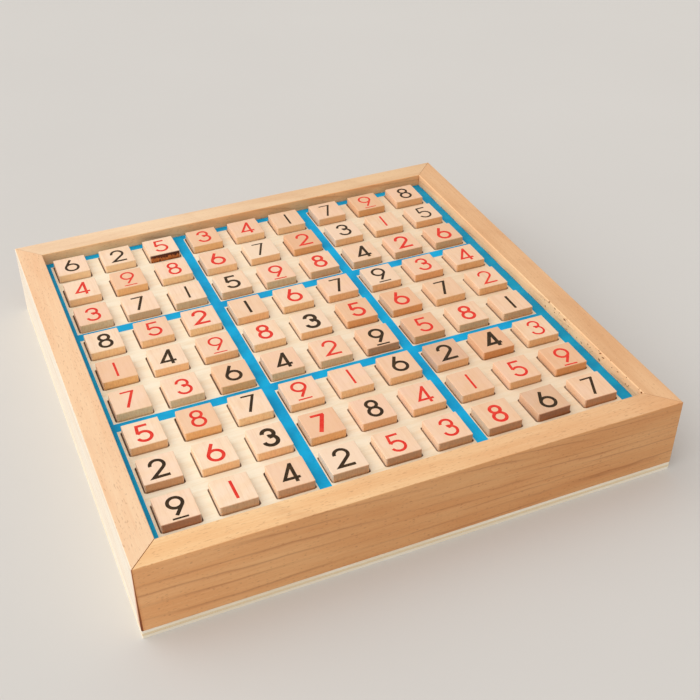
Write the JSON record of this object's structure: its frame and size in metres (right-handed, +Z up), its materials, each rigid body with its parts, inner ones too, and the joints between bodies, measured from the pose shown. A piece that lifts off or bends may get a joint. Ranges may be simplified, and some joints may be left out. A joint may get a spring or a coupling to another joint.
{
  "type": "sudoku board",
  "caption": "Square wooden sudoku board: mitred rails round a pocketed grid sheet, loose number tiles that lift out, blue block lines and a side drawer.",
  "frame": {"origin": "middle of the underside of the base panel", "axes": "+Z up, +X to the right, where the drawer opens, +Y to the back row"},
  "size_m": [0.3008, 0.3008, 0.0476],
  "materials": {
    "beech": "smooth beech, clear matt finish",
    "pale_beech": "plain sanded beech",
    "plywood": "sanded pale plywood",
    "grid_sheet": "sanded pale plywood, laser cut",
    "tile_wood": "sanded wood with a printed number",
    "blue_print": "printed blue ink"
  },
  "bodies": {
    "board": {"base_panel": "plywood", "front_rail": "beech", "right_rail": "beech", "back_rail": "beech", "left_rail": "beech", "floor_sheet": "plywood", "grid_sheet": "grid_sheet", "block_lines": "blue_print", "drawer_guide_front": "pale_beech", "drawer_guide_back": "pale_beech"},
    "drawer": {"drawer_front": "beech", "drawer_side_front": "pale_beech", "drawer_side_back": "pale_beech", "drawer_back": "pale_beech", "drawer_bottom": "plywood"},
    "answer_tiles_block_1": {"answer_tiles_block_1": "tile_wood"},
    "answer_tiles_block_2": {"answer_tiles_block_2": "tile_wood"},
    "answer_tiles_block_3": {"answer_tiles_block_3": "tile_wood"},
    "answer_tiles_block_4": {"answer_tiles_block_4": "tile_wood"},
    "answer_tiles_block_5": {"answer_tiles_block_5": "tile_wood"},
    "answer_tiles_block_6": {"answer_tiles_block_6": "tile_wood"},
    "answer_tiles_block_7": {"answer_tiles_block_7": "tile_wood"},
    "answer_tiles_block_8": {"answer_tiles_block_8": "tile_wood"},
    "answer_tiles_block_9": {"answer_tiles_block_9": "tile_wood"},
    "given_tile_r1_c1": {"given_tile_r1_c1": "tile_wood"},
    "given_tile_r1_c2": {"given_tile_r1_c2": "tile_wood"},
    "given_tile_r1_c6": {"given_tile_r1_c6": "tile_wood"},
    "given_tile_r1_c7": {"given_tile_r1_c7": "tile_wood"},
    "given_tile_r1_c9": {"given_tile_r1_c9": "tile_wood"},
    "given_tile_r2_c5": {"given_tile_r2_c5": "tile_wood"},
    "given_tile_r2_c7": {"given_tile_r2_c7": "tile_wood"},
    "given_tile_r2_c9": {"given_tile_r2_c9": "tile_wood"},
    "given_tile_r3_c2": {"given_tile_r3_c2": "tile_wood"},
    "given_tile_r3_c3": {"given_tile_r3_c3": "tile_wood"},
    "given_tile_r3_c4": {"given_tile_r3_c4": "tile_wood"},
    "given_tile_r3_c7": {"given_tile_r3_c7": "tile_wood"},
    "given_tile_r4_c1": {"given_tile_r4_c1": "tile_wood"},
    "given_tile_r4_c4": {"given_tile_r4_c4": "tile_wood"},
    "given_tile_r4_c6": {"given_tile_r4_c6": "tile_wood"},
    "given_tile_r4_c7": {"given_tile_r4_c7": "tile_wood"},
    "given_tile_r5_c2": {"given_tile_r5_c2": "tile_wood"},
    "given_tile_r5_c5": {"given_tile_r5_c5": "tile_wood"},
    "given_tile_r5_c8": {"given_tile_r5_c8": "tile_wood"},
    "given_tile_r6_c3": {"given_tile_r6_c3": "tile_wood"},
    "given_tile_r6_c4": {"given_tile_r6_c4": "tile_wood"},
    "given_tile_r6_c6": {"given_tile_r6_c6": "tile_wood"},
    "given_tile_r6_c9": {"given_tile_r6_c9": "tile_wood"},
    "given_tile_r7_c3": {"given_tile_r7_c3": "tile_wood"},
    "given_tile_r7_c6": {"given_tile_r7_c6": "tile_wood"},
    "given_tile_r7_c7": {"given_tile_r7_c7": "tile_wood"},
    "given_tile_r7_c8": {"given_tile_r7_c8": "tile_wood"},
    "given_tile_r8_c1": {"given_tile_r8_c1": "tile_wood"},
    "given_tile_r8_c3": {"given_tile_r8_c3": "tile_wood"},
    "given_tile_r8_c5": {"given_tile_r8_c5": "tile_wood"},
    "given_tile_r9_c1": {"given_tile_r9_c1": "tile_wood"},
    "given_tile_r9_c3": {"given_tile_r9_c3": "tile_wood"},
    "given_tile_r9_c4": {"given_tile_r9_c4": "tile_wood"},
    "given_tile_r9_c8": {"given_tile_r9_c8": "tile_wood"},
    "given_tile_r9_c9": {"given_tile_r9_c9": "tile_wood"}
  },
  "joints": [
    {"name": "drawer_slide", "type": "slide", "parent": "board", "child": "drawer", "axis": [1, 0, 0], "range_m": [0, 0.2]},
    {"name": "lift_answer_tiles_block_1", "type": "slide", "parent": "board", "child": "answer_tiles_block_1", "axis": [0, 0, 1], "range_m": [0, 0.02]},
    {"name": "lift_answer_tiles_block_2", "type": "slide", "parent": "board", "child": "answer_tiles_block_2", "axis": [0, 0, 1], "range_m": [0, 0.02]},
    {"name": "lift_answer_tiles_block_3", "type": "slide", "parent": "board", "child": "answer_tiles_block_3", "axis": [0, 0, 1], "range_m": [0, 0.02]},
    {"name": "lift_answer_tiles_block_4", "type": "slide", "parent": "board", "child": "answer_tiles_block_4", "axis": [0, 0, 1], "range_m": [0, 0.02]},
    {"name": "lift_answer_tiles_block_5", "type": "slide", "parent": "board", "child": "answer_tiles_block_5", "axis": [0, 0, 1], "range_m": [0, 0.02]},
    {"name": "lift_answer_tiles_block_6", "type": "slide", "parent": "board", "child": "answer_tiles_block_6", "axis": [0, 0, 1], "range_m": [0, 0.02]},
    {"name": "lift_answer_tiles_block_7", "type": "slide", "parent": "board", "child": "answer_tiles_block_7", "axis": [0, 0, 1], "range_m": [0, 0.02]},
    {"name": "lift_answer_tiles_block_8", "type": "slide", "parent": "board", "child": "answer_tiles_block_8", "axis": [0, 0, 1], "range_m": [0, 0.02]},
    {"name": "lift_answer_tiles_block_9", "type": "slide", "parent": "board", "child": "answer_tiles_block_9", "axis": [0, 0, 1], "range_m": [0, 0.02]},
    {"name": "lift_given_tile_r1_c1", "type": "slide", "parent": "board", "child": "given_tile_r1_c1", "axis": [0, 0, 1], "range_m": [0, 0.02]},
    {"name": "lift_given_tile_r1_c2", "type": "slide", "parent": "board", "child": "given_tile_r1_c2", "axis": [0, 0, 1], "range_m": [0, 0.02]},
    {"name": "lift_given_tile_r1_c6", "type": "slide", "parent": "board", "child": "given_tile_r1_c6", "axis": [0, 0, 1], "range_m": [0, 0.02]},
    {"name": "lift_given_tile_r1_c7", "type": "slide", "parent": "board", "child": "given_tile_r1_c7", "axis": [0, 0, 1], "range_m": [0, 0.02]},
    {"name": "lift_given_tile_r1_c9", "type": "slide", "parent": "board", "child": "given_tile_r1_c9", "axis": [0, 0, 1], "range_m": [0, 0.02]},
    {"name": "lift_given_tile_r2_c5", "type": "slide", "parent": "board", "child": "given_tile_r2_c5", "axis": [0, 0, 1], "range_m": [0, 0.02]},
    {"name": "lift_given_tile_r2_c7", "type": "slide", "parent": "board", "child": "given_tile_r2_c7", "axis": [0, 0, 1], "range_m": [0, 0.02]},
    {"name": "lift_given_tile_r2_c9", "type": "slide", "parent": "board", "child": "given_tile_r2_c9", "axis": [0, 0, 1], "range_m": [0, 0.02]},
    {"name": "lift_given_tile_r3_c2", "type": "slide", "parent": "board", "child": "given_tile_r3_c2", "axis": [0, 0, 1], "range_m": [0, 0.02]},
    {"name": "lift_given_tile_r3_c3", "type": "slide", "parent": "board", "child": "given_tile_r3_c3", "axis": [0, 0, 1], "range_m": [0, 0.02]},
    {"name": "lift_given_tile_r3_c4", "type": "slide", "parent": "board", "child": "given_tile_r3_c4", "axis": [0, 0, 1], "range_m": [0, 0.02]},
    {"name": "lift_given_tile_r3_c7", "type": "slide", "parent": "board", "child": "given_tile_r3_c7", "axis": [0, 0, 1], "range_m": [0, 0.02]},
    {"name": "lift_given_tile_r4_c1", "type": "slide", "parent": "board", "child": "given_tile_r4_c1", "axis": [0, 0, 1], "range_m": [0, 0.02]},
    {"name": "lift_given_tile_r4_c4", "type": "slide", "parent": "board", "child": "given_tile_r4_c4", "axis": [0, 0, 1], "range_m": [0, 0.02]},
    {"name": "lift_given_tile_r4_c6", "type": "slide", "parent": "board", "child": "given_tile_r4_c6", "axis": [0, 0, 1], "range_m": [0, 0.02]},
    {"name": "lift_given_tile_r4_c7", "type": "slide", "parent": "board", "child": "given_tile_r4_c7", "axis": [0, 0, 1], "range_m": [0, 0.02]},
    {"name": "lift_given_tile_r5_c2", "type": "slide", "parent": "board", "child": "given_tile_r5_c2", "axis": [0, 0, 1], "range_m": [0, 0.02]},
    {"name": "lift_given_tile_r5_c5", "type": "slide", "parent": "board", "child": "given_tile_r5_c5", "axis": [0, 0, 1], "range_m": [0, 0.02]},
    {"name": "lift_given_tile_r5_c8", "type": "slide", "parent": "board", "child": "given_tile_r5_c8", "axis": [0, 0, 1], "range_m": [0, 0.02]},
    {"name": "lift_given_tile_r6_c3", "type": "slide", "parent": "board", "child": "given_tile_r6_c3", "axis": [0, 0, 1], "range_m": [0, 0.02]},
    {"name": "lift_given_tile_r6_c4", "type": "slide", "parent": "board", "child": "given_tile_r6_c4", "axis": [0, 0, 1], "range_m": [0, 0.02]},
    {"name": "lift_given_tile_r6_c6", "type": "slide", "parent": "board", "child": "given_tile_r6_c6", "axis": [0, 0, 1], "range_m": [0, 0.02]},
    {"name": "lift_given_tile_r6_c9", "type": "slide", "parent": "board", "child": "given_tile_r6_c9", "axis": [0, 0, 1], "range_m": [0, 0.02]},
    {"name": "lift_given_tile_r7_c3", "type": "slide", "parent": "board", "child": "given_tile_r7_c3", "axis": [0, 0, 1], "range_m": [0, 0.02]},
    {"name": "lift_given_tile_r7_c6", "type": "slide", "parent": "board", "child": "given_tile_r7_c6", "axis": [0, 0, 1], "range_m": [0, 0.02]},
    {"name": "lift_given_tile_r7_c7", "type": "slide", "parent": "board", "child": "given_tile_r7_c7", "axis": [0, 0, 1], "range_m": [0, 0.02]},
    {"name": "lift_given_tile_r7_c8", "type": "slide", "parent": "board", "child": "given_tile_r7_c8", "axis": [0, 0, 1], "range_m": [0, 0.02]},
    {"name": "lift_given_tile_r8_c1", "type": "slide", "parent": "board", "child": "given_tile_r8_c1", "axis": [0, 0, 1], "range_m": [0, 0.02]},
    {"name": "lift_given_tile_r8_c3", "type": "slide", "parent": "board", "child": "given_tile_r8_c3", "axis": [0, 0, 1], "range_m": [0, 0.02]},
    {"name": "lift_given_tile_r8_c5", "type": "slide", "parent": "board", "child": "given_tile_r8_c5", "axis": [0, 0, 1], "range_m": [0, 0.02]},
    {"name": "lift_given_tile_r9_c1", "type": "slide", "parent": "board", "child": "given_tile_r9_c1", "axis": [0, 0, 1], "range_m": [0, 0.02]},
    {"name": "lift_given_tile_r9_c3", "type": "slide", "parent": "board", "child": "given_tile_r9_c3", "axis": [0, 0, 1], "range_m": [0, 0.02]},
    {"name": "lift_given_tile_r9_c4", "type": "slide", "parent": "board", "child": "given_tile_r9_c4", "axis": [0, 0, 1], "range_m": [0, 0.02]},
    {"name": "lift_given_tile_r9_c8", "type": "slide", "parent": "board", "child": "given_tile_r9_c8", "axis": [0, 0, 1], "range_m": [0, 0.02]},
    {"name": "lift_given_tile_r9_c9", "type": "slide", "parent": "board", "child": "given_tile_r9_c9", "axis": [0, 0, 1], "range_m": [0, 0.02]}
  ]
}
